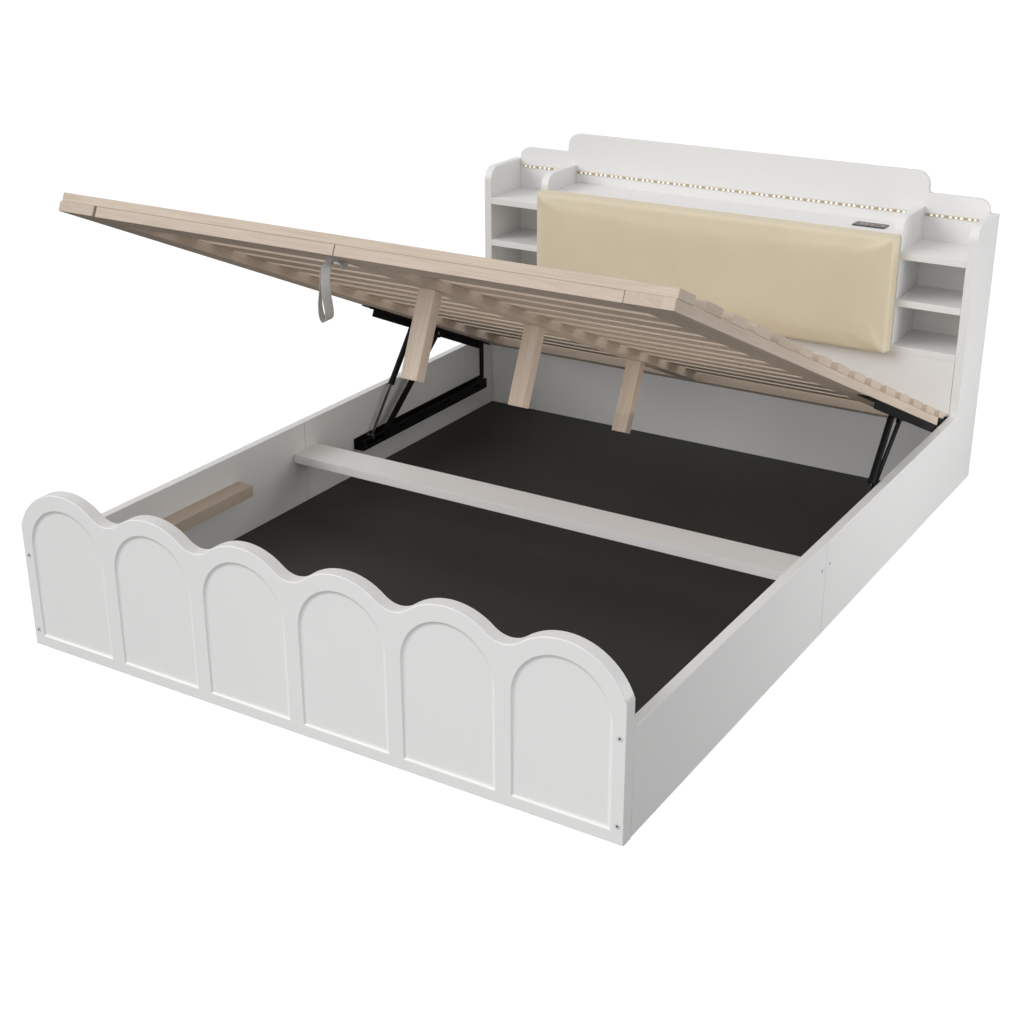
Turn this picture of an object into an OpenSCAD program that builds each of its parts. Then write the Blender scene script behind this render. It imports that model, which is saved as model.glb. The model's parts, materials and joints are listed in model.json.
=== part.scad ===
// Storage bed with a lifting slatted frame and a shelved headboard.
// Millimetres. +Z up, +Y towards the headboard, X across the bed, origin on the floor at the plan centre.
// The slatted frame is drawn raised, as it rests on its gas struts.

/* [Bed] */
// Overall width over the side rails
bed_w = 1612; // [1500:4:1700]
// Overall length from the footboard's front to the headboard's back
bed_l = 2244; // [2228:2:2264]
// Depth of the shelved headboard
head_d = 200; // [190:2:216]

/* [Footboard] */
// Thickness of the footboard
foot_t = 34; // [28:1:36]
// Height of the scalloped crests
crest_z = 417.5; // [412:0.5:424]
// Height of the dips between the crests
dip_z = 371.5; // [364:0.5:378]
// Radius of each crest
crest_r = 152; // [148:1:156]
// Width of each sunk field
field_w = 228; // [200:2:232]
// Height of the fields' lower edge above the floor
field_z = 27.5; // [20:0.5:45]
// Depth of the sunk fields
field_depth = 5; // [4:0.5:10]
// Width of the fields' slanted edge
field_slant = 6; // [4:1:12]

/* [Side rails] */
// Thickness of the side rails
rail_t = 24; // [20:1:24]
// Height of the rails' top edge
rail_top = 251; // [244:1:251]
// Gap between the rails and the ground
rail_gap = 2; // [0:0.5:6]
// Length of the foot-end rail section
rail_front_l = 1000; // [960:5:1040]

/* [Floor and crossbeam] */
// Thickness of the floor panels
floor_t = 10; // [6:0.5:10]
// Width of the crossbeam
beam_w = 108; // [80:2:120]
// Height of the crossbeam's top
beam_top = 169; // [150:1:180]
// Thickness of the crossbeam
beam_t = 25; // [18:1:30]

/* [Headboard] */
// Height of the side panels and dividers
panel_h = 805; // [795:1:815]
// Thickness of the side panels and dividers
panel_t = 25; // [20:1:25]
// Width of the shelf compartments
bay_w = 188; // [160:2:200]
// Height of the lowest shelf's top
shelf_z = 434; // [424:1:440]
// Distance between the shelves
shelf_pitch = 137; // [125:1:140]
// Thickness of the shelves
shelf_t = 20; // [16:1:22]
// Height of the raised middle of the back panel
back_top = 905; // [890:1:930]
// Height of the back panel's ends
back_end_top = 844; // [834:1:860]

/* [Cushion] */
// Height of the cushion
cushion_h = 350; // [330:2:354]
// Thickness of the cushion
cushion_t = 52; // [44:1:56]

/* [Slatted frame] */
// Height of the slats' top with the frame down
slat_top = 264; // [262:0.5:268]
// Angle of the raised frame
open_deg = 23.9; // [20:0.1:24]
// Number of slats
slat_n = 15; // [13:1:16]
// Width of each slat
slat_w = 86; // [70:1:92]
// Thickness of the slats
slat_t = 20; // [16:1:20]
// Thickness of the beams under the slats
under_t = 24; // [20:1:24]
// Width of the side beams
side_beam_w = 105; // [95:1:120]

/* [Hidden] */

$fn = 64;
white = [0.86, 0.85, 0.84];
inner_white = [0.84, 0.83, 0.82];
oak = [0.79, 0.71, 0.64];
black = [0.07, 0.07, 0.07];
floor_black = [0.12, 0.12, 0.12];
cream = [0.81, 0.76, 0.66];

over = 1;
hw = bed_w / 2;
head_front = bed_l - head_d;
eps = 0.01;

// Placing
module bed() translate([0, -bed_l / 2, 0]) children();
// From the left: x is the distance inward from the left rail's outer face.
module from_left() bed() translate([-hw, 0, 0]) children();
module from_right() bed() translate([hw, 0, 0]) mirror([1, 0, 0]) children();
module on_both() {
    from_left() children();
    from_right() children();
}
module across(r, x0, x1) translate([x0, 0, 0]) rotate([0, 90, 0]) cylinder(r = r, h = x1 - x0);
module block(x0, x1, y0, y1, z0, z1) translate([x0, y0, z0]) cube([x1 - x0, y1 - y0, z1 - z0]);

// Footboard outline
crest_n = 6;
crest_in = 143.5;
crest_x0 = crest_in - hw;
crest_pitch = -2 * crest_x0 / (crest_n - 1);
crest_cz = crest_z - crest_r;
dip_run = crest_pitch / 2;
dip_rise = dip_z - crest_cz;
dip_r = (dip_run * dip_run + dip_rise * dip_rise - crest_r * crest_r) / (2 * (crest_r - dip_rise));
join_z = crest_cz + (dip_rise + dip_r) * crest_r / (crest_r + dip_r);
end_run = hw + crest_x0;
end_z = crest_cz + sqrt(crest_r * crest_r - end_run * end_run);
field_r = field_w / 2;

module foot_outline() {
    intersection() {
        translate([-hw, 0]) square([bed_w, crest_z + over]);
        difference() {
            union() {
                translate([-hw, 0]) square([bed_w, end_z]);
                translate([crest_x0, 0]) square([-2 * crest_x0, join_z]);
                for (i = [0 : crest_n - 1])
                    translate([crest_x0 + i * crest_pitch, crest_cz]) circle(r = crest_r, $fn = 128);
            }
            for (i = [0 : crest_n - 2])
                translate([crest_x0 + (i + 0.5) * crest_pitch, dip_z + dip_r]) circle(r = dip_r, $fn = 96);
        }
    }
}

// A sunk field with a slanted edge, its mouth on the front face.
module field() {
    k = field_slant / field_depth;
    mouth = field_r + k * over;
    floor_r = field_r - field_slant;
    low = field_z - crest_cz;
    translate([0, -over, crest_cz]) rotate([-90, 0, 0])
        cylinder(r1 = mouth, r2 = floor_r, h = field_depth + over, $fn = 96);
    translate([0, -over, crest_cz]) intersection() {
        translate([0, 0, -crest_cz]) linear_extrude(height = crest_cz)
            polygon([[-mouth, 0], [mouth, 0], [floor_r, field_depth + over], [-floor_r, field_depth + over]]);
        rotate([90, 0, 90]) translate([0, 0, -field_w]) linear_extrude(height = 2 * field_w)
            polygon([[0, low - k * over], [field_depth + over, low + field_slant],
                [field_depth + over, 0], [0, 0]]);
    }
}

bolt_x = 14;
bolt_r = 3.5;
bolt_head_r = 7;
bolt_head_t = 3;
bolt_l = 60;
foot_bolt_z = [42, 240];
head_inset = 0.3;
module foot_bolt_shape(grow) {
    rotate([-90, 0, 0]) {
        cylinder(r = bolt_r, h = bolt_l);
        translate([0, 0, head_inset - grow]) cylinder(r = bolt_head_r, h = bolt_head_t + grow);
    }
}
module foot_bolts(grow) on_both() for (z = foot_bolt_z) translate([bolt_x, 0, z]) foot_bolt_shape(grow);

module footboard() color(white) difference() {
    bed() difference() {
        translate([0, foot_t, 0]) rotate([90, 0, 0]) linear_extrude(height = foot_t) foot_outline();
        for (i = [0 : crest_n - 1]) translate([crest_x0 + i * crest_pitch, 0, 0]) field();
    }
    foot_bolts(over);
}
module footboard_bolts() color(inner_white) foot_bolts(0);

// Side rails
seam_y = foot_t + rail_front_l;
joint_bolt_off = 25;
joint_bolt_y = [seam_y - joint_bolt_off, seam_y + joint_bolt_off];
joint_bolt_z = 183;
joint_bolt_l = 16;
joint_bolt_r = 3;
joint_head_r = 6;
module joint_bolt_shape(grow) {
    across(joint_bolt_r, 0, joint_bolt_l);
    across(joint_head_r, head_inset - grow, head_inset + bolt_head_t);
}
module joint_bolts(grow) on_both()
    for (y = joint_bolt_y) translate([0, y, joint_bolt_z]) joint_bolt_shape(grow);
module rail_front() difference() {
    block(0, rail_t, foot_t, seam_y, rail_gap, rail_top);
    for (z = foot_bolt_z) translate([bolt_x, 0, z]) foot_bolt_shape(over);
    translate([0, joint_bolt_y[0], joint_bolt_z]) joint_bolt_shape(over);
}
module rail_rear() difference() {
    block(0, rail_t, seam_y, head_front, rail_gap, rail_top);
    translate([0, joint_bolt_y[1], joint_bolt_z]) joint_bolt_shape(over);
    for (y = screw_y) translate([0, y, stay_pin_z]) base_screw(over);
}
module rail_left_front() color(white) from_left() rail_front();
module rail_right_front() color(white) from_right() rail_front();
module rail_left_rear() color(white) from_left() rail_rear();
module rail_right_rear() color(white) from_right() rail_rear();
module rail_joint_bolts() color(inner_white) joint_bolts(0);

// Crossbeam, battens and floor
module crossbeam() color(white) bed()
    block(-hw + rail_t, hw - rail_t, seam_y - beam_w / 2, seam_y + beam_w / 2, beam_top - beam_t, beam_top);
batten_w = 52;
batten_z0 = 139;
batten_z1 = 172;
batten_end = 736;
module batten() block(rail_t, rail_t + batten_w, foot_t, batten_end, batten_z0, batten_z1);
module batten_left() color(oak) from_left() batten();
module batten_right() color(oak) from_right() batten();
module floor_panel_front() color(floor_black) bed()
    block(-hw + rail_t, hw - rail_t, foot_t, seam_y, 0, floor_t);
module floor_panel_rear() color(floor_black) bed()
    block(-hw + rail_t, hw - rail_t, seam_y, head_front, 0, floor_t);

// Headboard
back_t = 16;
back_face = bed_l - back_t;
corner_r = 42;
div_x = panel_t + bay_w;
div_in = div_x + panel_t;
centre_z = 748;
board_z0 = shelf_z - shelf_t;
module upright(x0, z0) {
    difference() {
        block(x0, x0 + panel_t, head_front, back_face, z0, panel_h);
        translate([0, head_front - over, panel_h - corner_r])
            cube([bed_w, corner_r + over, corner_r + over]);
    }
    intersection() {
        block(x0, x0 + panel_t, head_front, head_front + corner_r, panel_h - corner_r - eps, panel_h);
        translate([0, head_front + corner_r, panel_h - corner_r]) across(corner_r, x0, x0 + panel_t);
    }
}
module side_panel() {
    upright(0, 0);
    block(0, panel_t, back_face - eps, bed_l, 0, panel_h);
}
module headboard_side_left() color(white) from_left() side_panel();
module headboard_side_right() color(white) from_right() side_panel();
module headboard_divider_left() color(white) from_left() upright(div_x, shelf_z);
module headboard_divider_right() color(white) from_right() upright(div_x, shelf_z);

end_r = 34;
raised_r = 40;
step_r = 10;
step_out = 6;
module half_back() {
    w = hw - panel_t;
    raised = hw - div_x + step_out;
    difference() {
        union() {
            square([w, back_end_top - end_r]);
            square([w - end_r, back_end_top]);
            translate([w - end_r, back_end_top - end_r]) circle(r = end_r);
            square([raised, back_top - raised_r]);
            square([raised - raised_r, back_top]);
            translate([raised - raised_r, back_top - raised_r]) circle(r = raised_r);
            translate([raised, back_end_top]) square([step_r, step_r]);
        }
        translate([raised + step_r, back_end_top + step_r]) circle(r = step_r);
    }
}
module headboard_back() color(white) bed() translate([0, bed_l, 0]) rotate([90, 0, 0])
    linear_extrude(height = back_t) union() {
        half_back();
        mirror([1, 0]) half_back();
    }
module headboard_lower_panel() color(white) bed()
    block(-hw + panel_t, hw - panel_t, head_front, head_front + shelf_t, rail_gap, board_z0);
module headboard_lower_shelf() color(white) bed()
    block(-hw + panel_t, hw - panel_t, head_front, back_face, board_z0, shelf_z);
module headboard_front_panel() color(white) bed()
    block(-hw + div_in, hw - div_in, head_front, head_front + shelf_t, shelf_z, centre_z - shelf_t);
module centre_shelf() color(white) bed()
    block(-hw + div_in, hw - div_in, head_front, back_face, centre_z - shelf_t, centre_z);
module bay_shelf(i) block(panel_t, div_x, head_front, back_face,
    shelf_z + i * shelf_pitch - shelf_t, shelf_z + i * shelf_pitch);
module shelf_left_middle() color(white) from_left() bay_shelf(1);
module shelf_left_top() color(white) from_left() bay_shelf(2);
module shelf_right_middle() color(white) from_right() bay_shelf(1);
module shelf_right_top() color(white) from_right() bay_shelf(2);

// Cushion: rounded, crowned in front and drawn in towards its back
cushion_w = bed_w - 2 * div_x;
cushion_z0 = board_z0;
cushion_gap = 0.3;
edge_r = 17;
crown = 7;
crown_in = 90;
draw_in = 3;
module cushion_corner(inset, y, r) for (sx = [-1, 1], sz = [0, 1])
    translate([sx * (cushion_w / 2 - inset), y, cushion_z0 + inset + sz * (cushion_h - 2 * inset)])
        sphere(r = r, $fn = 24);
module cushion() color(cream) bed() hull() {
    cushion_corner(edge_r, head_front - cushion_gap - cushion_t + crown + edge_r, edge_r);
    cushion_corner(edge_r + crown_in, head_front - cushion_gap - cushion_t + edge_r, edge_r);
    translate([0, head_front - cushion_gap, 0]) rotate([90, 0, 0]) linear_extrude(height = eps)
        translate([-cushion_w / 2 + draw_in, cushion_z0 + draw_in])
            square([cushion_w - 2 * draw_in, cushion_h - 2 * draw_in]);
}

// Light strip and control panel
tape_z = 782;
tape_h = 12;
tape_t = 1.2;
chip = 5;
chip_t = 1.6;
chip_step = 16;
group_step = 56;
bay_groups = 3;
centre_groups = floor((bed_w - 2 * div_in) / group_step);
tape_end = 4;
module tape(x0, x1) block(x0, x1, back_face - tape_t, back_face, tape_z - tape_h / 2, tape_z + tape_h / 2);
module chip_group(x) for (i = [-1, 0, 1])
    block(x + i * chip_step - chip / 2, x + i * chip_step + chip / 2, back_face - tape_t - chip_t,
        back_face - tape_t, tape_z - chip / 2, tape_z + chip / 2);
module led_tape() color([0.72, 0.56, 0.40]) {
    on_both() tape(panel_t + tape_end, div_x - tape_end);
    bed() tape(-hw + div_in + tape_end, hw - div_in - tape_end);
}
module led_chips() color([1, 1, 0.95]) {
    on_both() for (i = [0 : bay_groups - 1])
        chip_group(panel_t + bay_w / 2 + (i - (bay_groups - 1) / 2) * group_step);
    bed() for (i = [0 : centre_groups - 1]) chip_group((i - (centre_groups - 1) / 2) * group_step);
}
control_in = 107;
control_x = hw - div_in - control_in;
control_back = 94;
control_w = 99;
control_d = 48;
control_t = 3;
mark_x = [-26, -11, 5, 38];
mark_r = 3;
mark_t = 0.4;
module control_place() bed() translate([control_x, bed_l - control_back, centre_z]) children();
module control_panel() color(black) control_place()
    translate([-control_w / 2, -control_d / 2, 0]) cube([control_w, control_d, control_t]);
module control_marks() color([0.8, 0.8, 0.8]) control_place() for (x = mark_x)
    translate([x, 0, control_t]) cylinder(r = mark_r, h = mark_t, $fn = 24);

// Lifting frame: a runs from its foot end, b up from the slats' top
frame_in = 31;
foot_gap = 3;
head_gap = 9;
frame_l = head_front - head_gap - foot_t - foot_gap;
pivot_in = 12;
pivot_a = frame_l - pivot_in;
pivot_b = -20;
pivot_y = foot_t + foot_gap + pivot_a;
pivot_z = slat_top + pivot_b;
module lifted() translate([0, pivot_y, pivot_z]) rotate([-open_deg, 0, 0])
    translate([0, -pivot_a, -pivot_b]) children();
module lifted_left() from_left() lifted() children();
module lifted_right() from_right() lifted() children();
module lifted_bed() bed() lifted() children();

proud = 5;
slat_end_cut = 8;
slat_w_end = slat_w - slat_end_cut;
slat_hw = hw - frame_in;
slat_run = frame_l - proud - slat_w_end;
slat_gap_pitch = slat_run / (slat_n - 1);
beam_b = -slat_t - under_t;
module slats() color(oak) lifted_bed() for (i = [0 : slat_n - 1]) {
    w = (i == 0 || i == slat_n - 1) ? slat_w_end : slat_w;
    mid = proud + slat_w_end / 2 + i * slat_gap_pitch;
    block(-slat_hw, slat_hw, mid - w / 2, mid + w / 2, -slat_t, 0);
}
module side_beam() difference() {
    block(frame_in, frame_in + side_beam_w, 0, frame_l, beam_b, -slat_t);
    top_screws();
}
module side_beam_left() color(oak) lifted_left() side_beam();
module side_beam_right() color(oak) lifted_right() side_beam();
end_beam_w = 105;
module foot_beam() block(frame_in + side_beam_w, hw, proud, proud + end_beam_w, beam_b, -slat_t);
module foot_beam_left() color(oak) lifted_left() foot_beam();
module foot_beam_right() color(oak) lifted_right() foot_beam();
module head_beam() color(oak) lifted_bed()
    block(-hw + frame_in + side_beam_w, hw - frame_in - side_beam_w, frame_l - end_beam_w, frame_l,
        beam_b, -slat_t);
centre_beam_w = 72;
module centre_beam() color(oak) lifted_bed()
    block(-centre_beam_w / 2, centre_beam_w / 2, proud + end_beam_w, frame_l - end_beam_w, beam_b, -slat_t);
leg_w = 45;
leg_d = 33;
leg_clear = 3;
leg_a = [373, 876, 1495];
leg_b = floor_t + leg_clear - slat_top;
module legs() color(oak) lifted_bed()
    for (a = leg_a) block(-leg_w / 2, leg_w / 2, a, a + leg_d, leg_b, beam_b);

// Lift hardware: x is again the distance inward from the rail's outer face
plate_t = 3;
bar_x = rail_t;
bar_w = 36;
web_x = bar_x + bar_w;
bar_z0 = 92;
bar_z1 = 125;
bar_foot_in = 782;
bar_head_in = 57;
web_head_in = 91;
bar_y0 = head_front - bar_foot_in;
bar_y1 = head_front - bar_head_in;
web_y1 = head_front - web_head_in;
upright_w = 22;
eye_r = 11;
rivet_r = 4;
rivet_head_r = 7;
rivet_head_t = 1.2;
run_gap = 0.05;
side_gap = 0.5;
ear_x = bar_x + plate_t + side_gap;

strut_in = 16.5;
strut_x = rail_t + strut_in;
strut_foot_in = 714;
strut_y = head_front - strut_foot_in;
strut_z = 116;
strut_top_in = 498;
strut_a = frame_l - strut_top_in;
strut_b = -58;
stay_in = 27;
stay_x0 = rail_t + stay_in;
stay_t = 4;
stay_w = 25;
stay_top_in = 373;
stay_a = frame_l - stay_top_in;
stay_b = -61;
stay_l = 385;
stay_pin_z = 112;
stay_pin_r = 5;
stay_slot_h = 18;
stay_slot_in = [768, 646];
stay_slot_y = [for (d = stay_slot_in) head_front - d];

// Points of the raised frame in bed coordinates
function lift_y(a, b) = pivot_y + (a - pivot_a) * cos(open_deg) + (b - pivot_b) * sin(open_deg);
function lift_z(a, b) = pivot_z - (a - pivot_a) * sin(open_deg) + (b - pivot_b) * cos(open_deg);
strut_top = [lift_y(strut_a, strut_b), lift_z(strut_a, strut_b)];
stay_top = [lift_y(stay_a, stay_b), lift_z(stay_a, stay_b)];
stay_drop = stay_top[1] - stay_pin_z;
stay_pin_y = stay_top[0] - sqrt(stay_l * stay_l - stay_drop * stay_drop);
strut_dy = strut_top[0] - strut_y;
strut_dz = strut_top[1] - strut_z;
strut_open_l = sqrt(strut_dy * strut_dy + strut_dz * strut_dz);
strut_tilt = atan2(strut_dz, strut_dy);
stay_tilt = atan2(stay_drop, stay_top[0] - stay_pin_y);

bar_slot_in = [594, 344, 164];
bar_slot_l = 35;
bar_hole_in = [524, 484, 404, 264, 204];
slot_h = 9;
hole_r = 3.5;
screw_in = [744, 444, 284, 104];
screw_y = [for (d = screw_in) head_front - d];
screw_r = 2;
screw_l = 15;
screw_head_r = 5;
screw_head_t = 2.2;

module slot_x(x0, x1, y0, y1, z, h) {
    block(x0, x1, y0 + h / 2, y1 - h / 2, z - h / 2, z + h / 2);
    for (y = [y0 + h / 2, y1 - h / 2]) translate([0, y, z]) across(h / 2, x0, x1);
}
module base_screw(grow) {
    across(screw_r, bar_x + plate_t - screw_l, bar_x + plate_t + eps);
    across(screw_head_r, bar_x + plate_t, bar_x + plate_t + screw_head_t + grow);
}
module hinge_rivet(gap, grow) translate([0, pivot_y, pivot_z]) {
    across(rivet_r + gap, bar_x, ear_x + plate_t + grow);
    across(rivet_head_r + gap, ear_x + plate_t - rivet_head_t - gap, ear_x + plate_t + grow);
}
module base_bracket() difference() {
    union() {
        block(bar_x, bar_x + plate_t, bar_y0, bar_y1, bar_z0, bar_z1);
        block(bar_x, web_x, bar_y0, web_y1, bar_z0, bar_z0 + plate_t);
        block(web_x - plate_t, web_x, bar_y0, web_y1, bar_z0, bar_z1);
        block(bar_x, bar_x + plate_t, bar_y1 - upright_w, bar_y1, bar_z0, pivot_z + eye_r);
        block(bar_x, bar_x + plate_t, bar_y1 - upright_w, pivot_y, pivot_z - eye_r, pivot_z + eye_r);
        translate([0, pivot_y, pivot_z]) across(eye_r, bar_x, bar_x + plate_t);
    }
    translate([0, pivot_y, pivot_z]) across(rivet_r, bar_x - over, bar_x + plate_t + over);
    translate([0, strut_y, strut_z]) across(rivet_r, bar_x - over, bar_x + plate_t + over);
    slot_x(web_x - plate_t - over, web_x + over, stay_slot_y[0], stay_slot_y[1], stay_pin_z, stay_slot_h);
    for (d = bar_slot_in)
        slot_x(web_x - plate_t - over, web_x + over, head_front - d, head_front - d + bar_slot_l,
            stay_pin_z, slot_h);
    for (d = bar_hole_in)
        translate([0, head_front - d, stay_pin_z]) across(hole_r, web_x - plate_t - over, web_x + over);
    for (y = screw_y) translate([0, y, stay_pin_z]) across(screw_r, bar_x - over, bar_x + plate_t + over);
}
module base_bracket_left() color(black) from_left() base_bracket();
module base_bracket_right() color(black) from_right() base_bracket();
module bracket_screws() color(black) on_both()
    for (y = screw_y) translate([0, y, stay_pin_z]) base_screw(0);
module hinge_rivets() color([0.5, 0.5, 0.5]) on_both() hinge_rivet(0, 0);

// Gas strut: its rod turns on the base bracket, its tube slides down the rod from the top bar
tube_r = 9;
tube_l = 200;
tube_wall = 1.5;
strut_eye_t = 9;
rod_r = 4;
rod_eye_r = 8;
rod_from = 6;
piston_gap = 0.05;
piston_l = 14;
gland_l = 12;
rod_in = 28;
stud_gap = 0.5;
collar_r = 6;
bolt_end_t = 3;
tube_mouth = strut_open_l - tube_l;
rod_end = tube_mouth + gland_l + rod_in;
module strut_axis() translate([strut_x, strut_y, strut_z]) rotate([strut_tilt - 90, 0, 0]) children();
module strut_bolts() color([0.35, 0.35, 0.35]) on_both() translate([0, strut_y, strut_z]) {
    across(rivet_r, bar_x, strut_x + strut_eye_t / 2 + side_gap);
    across(collar_r, bar_x + plate_t, strut_x - strut_eye_t / 2 - side_gap);
    across(rivet_head_r, strut_x + strut_eye_t / 2 + side_gap,
        strut_x + strut_eye_t / 2 + side_gap + bolt_end_t);
}
module strut_rod() {
    difference() {
        union() {
            translate([0, strut_y, strut_z])
                across(rod_eye_r, strut_x - strut_eye_t / 2, strut_x + strut_eye_t / 2);
            strut_axis() translate([0, 0, rod_from]) cylinder(r = rod_r, h = rod_end - rod_from);
        }
        translate([0, strut_y, strut_z]) across(rivet_r + run_gap, 0, bed_w / 4);
    }
    strut_axis() translate([0, 0, rod_end - piston_l])
        cylinder(r = tube_r - tube_wall - piston_gap, h = piston_l);
}
module strut_tube() difference() {
    union() {
        strut_axis() translate([0, 0, tube_mouth]) cylinder(r = tube_r, h = tube_l - tube_r);
        strut_axis() translate([-strut_eye_t / 2, -tube_r / 2, strut_open_l - tube_r - over])
            cube([strut_eye_t, tube_r, tube_r + over]);
        translate([0, strut_top[0], strut_top[1]]) {
            across(tube_r, strut_x - strut_eye_t / 2, strut_x + strut_eye_t / 2);
            across(rod_r, ear_x + plate_t + stud_gap, strut_x);
        }
    }
    strut_axis() translate([0, 0, tube_mouth + gland_l])
        cylinder(r = tube_r - tube_wall, h = tube_l - tube_r - 2 * tube_wall - gland_l);
    strut_axis() translate([0, 0, tube_mouth - over]) cylinder(r = rod_r + run_gap, h = tube_l / 2);
}
module strut_tube_left() color(black) from_left() strut_tube();
module strut_tube_right() color(black) from_right() strut_tube();
module strut_rod_left() color([0.45, 0.45, 0.46]) from_left() strut_rod();
module strut_rod_right() color([0.45, 0.45, 0.46]) from_right() strut_rod();

// Stay: a flat link that turns on the top bar, its lower stud running in the base bracket's slot
stud_head_r = 11;
stud_head_t = 2.5;
slot_gap = 0.6;
stay_x1 = stay_x0 + stay_t;
module stay_axis() translate([0, stay_pin_y, stay_pin_z]) rotate([stay_tilt - 90, 0, 0]) children();
module stay_link() {
    difference() {
        stay_axis() {
            translate([stay_x0, -stay_w / 2, 0]) cube([stay_t, stay_w, stay_l]);
            across(stay_w / 2, stay_x0, stay_x1);
            translate([0, 0, stay_l]) across(stay_w / 2, stay_x0, stay_x1);
        }
        translate([0, stay_top[0], stay_top[1]]) across(stay_pin_r + run_gap, 0, bed_w / 4);
    }
    translate([0, stay_pin_y, stay_pin_z]) {
        across(stay_pin_r, stay_x0, web_x + slot_gap + stud_head_t);
        across(stud_head_r, web_x + slot_gap, web_x + slot_gap + stud_head_t);
    }
}
module stay_link_left() color(black) from_left() stay_link();
module stay_link_right() color(black) from_right() stay_link();

// Top bar under each side beam, with an ear for the hinge and a lug for the stay
top_tip_in = 765;
top_tip = frame_l - top_tip_in;
top_drop_in = 703;
top_flange_a = frame_l - top_drop_in;
top_end_in = 57;
top_end = frame_l - top_end_in;
top_drop = 24;
lug_gap = 1;
lug_x = stay_x1 + lug_gap;
lug_w = 30;
lug_drop = 30;
stay_head_r = 8;
ear_w = 22;
top_screw_end = [733, 598, 458, 298, 148, 72];
top_screw_a = [for (d = top_screw_end) frame_l - d];
top_screw_in = 13;
top_screw_x = ear_x + top_screw_in;
top_screw_l = 16;
module stay_rivet() translate([0, stay_a, stay_b]) {
    across(stay_pin_r, stay_x0 - side_gap, lug_x + plate_t);
    across(stay_head_r, stay_x0 - side_gap - bolt_end_t, stay_x0 - side_gap);
}
module top_screw() translate([top_screw_x, 0, beam_b - plate_t]) {
    translate([0, 0, -screw_head_t]) {
        cylinder(r = screw_r, h = screw_head_t + top_screw_l);
        cylinder(r = screw_head_r, h = screw_head_t);
    }
}
module top_screws() for (a = top_screw_a) translate([0, a, 0]) top_screw();
module top_bar() difference() {
    lifted() {
        block(ear_x, lug_x + plate_t, top_tip, top_end, beam_b - plate_t, beam_b);
        block(ear_x, ear_x + plate_t, top_flange_a, top_end, beam_b - top_drop, beam_b);
        block(ear_x, ear_x + plate_t, top_end - ear_w, pivot_a + ear_w / 2, beam_b - plate_t, pivot_b);
        translate([0, pivot_a, pivot_b]) across(ear_w / 2, ear_x, ear_x + plate_t);
        block(lug_x, lug_x + plate_t, stay_a - lug_w / 2, stay_a + lug_w / 2, beam_b - lug_drop, beam_b);
    }
    hinge_rivet(run_gap, over);
    lifted() {
        translate([0, stay_a, stay_b]) across(stay_pin_r, lug_x - over, lug_x + plate_t + over);
        for (a = top_screw_a) translate([top_screw_x, a, beam_b - plate_t - over])
            cylinder(r = screw_r, h = plate_t + 2 * over);
    }
}
module top_bar_left() color(black) from_left() top_bar();
module top_bar_right() color(black) from_right() top_bar();
module top_bar_screws() color(black) on_both() lifted() top_screws();
module stay_rivets() color([0.35, 0.35, 0.35]) on_both() lifted() stay_rivet();

// Pull strap under the foot beam
strap_w = 20;
strap_t = 2;
strap_drop = 140;
strap_open = 7;
strap_x = -22;
strap_hang = -14;
strap_tab = 22;
tab_t = 3;
bend_r = strap_open / 2 + strap_t;
bend_z = -strap_drop + bend_r;
strand_top = -2;
strap_a = 52;
strap_y = lift_y(strap_a, beam_b);
strap_z = lift_z(strap_a, beam_b);
module pull_strap() color([0.84, 0.83, 0.81]) bed() translate([strap_x - strap_w / 2, strap_y, strap_z]) {
    translate([strap_hang, 0, 0]) {
        for (y = [-bend_r, bend_r - strap_t]) translate([0, y, bend_z])
            cube([strap_w, strap_t, strand_top - bend_z]);
        translate([0, 0, bend_z]) difference() {
            across(bend_r, 0, strap_w);
            across(bend_r - strap_t, -over, strap_w + over);
            translate([-over, -bend_r, 0]) cube([strap_w + 2 * over, 2 * bend_r, bend_r]);
        }
    }
    rotate([-open_deg, 0, 0]) translate([0, -strap_tab, -tab_t]) cube([strap_w, 2 * strap_tab, tab_t]);
}

footboard();
footboard_bolts();
rail_left_front();
rail_left_rear();
rail_right_front();
rail_right_rear();
rail_joint_bolts();
crossbeam();
batten_left();
batten_right();
floor_panel_front();
floor_panel_rear();
headboard_side_left();
headboard_side_right();
headboard_divider_left();
headboard_divider_right();
headboard_back();
headboard_lower_panel();
headboard_front_panel();
headboard_lower_shelf();
shelf_left_middle();
shelf_left_top();
shelf_right_middle();
shelf_right_top();
centre_shelf();
cushion();
led_tape();
led_chips();
control_panel();
control_marks();
base_bracket_left();
base_bracket_right();
bracket_screws();
hinge_rivets();
strut_bolts();
side_beam_left();
side_beam_right();
foot_beam_left();
foot_beam_right();
head_beam();
centre_beam();
slats();
legs();
top_bar_left();
top_bar_right();
top_bar_screws();
stay_rivets();
pull_strap();
stay_link_left();
stay_link_right();
strut_tube_left();
strut_tube_right();
strut_rod_left();
strut_rod_right();
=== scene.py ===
"""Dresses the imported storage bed: boards, wood, cushion, light strip, steel, strap, camera and studio."""

import json
from functools import cache
from math import atan2, cos, pi, radians, sin

import bmesh
import bpy
from bpy.props import FloatProperty, FloatVectorProperty, PointerProperty
from mathutils import Euler, Matrix, Vector


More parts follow.
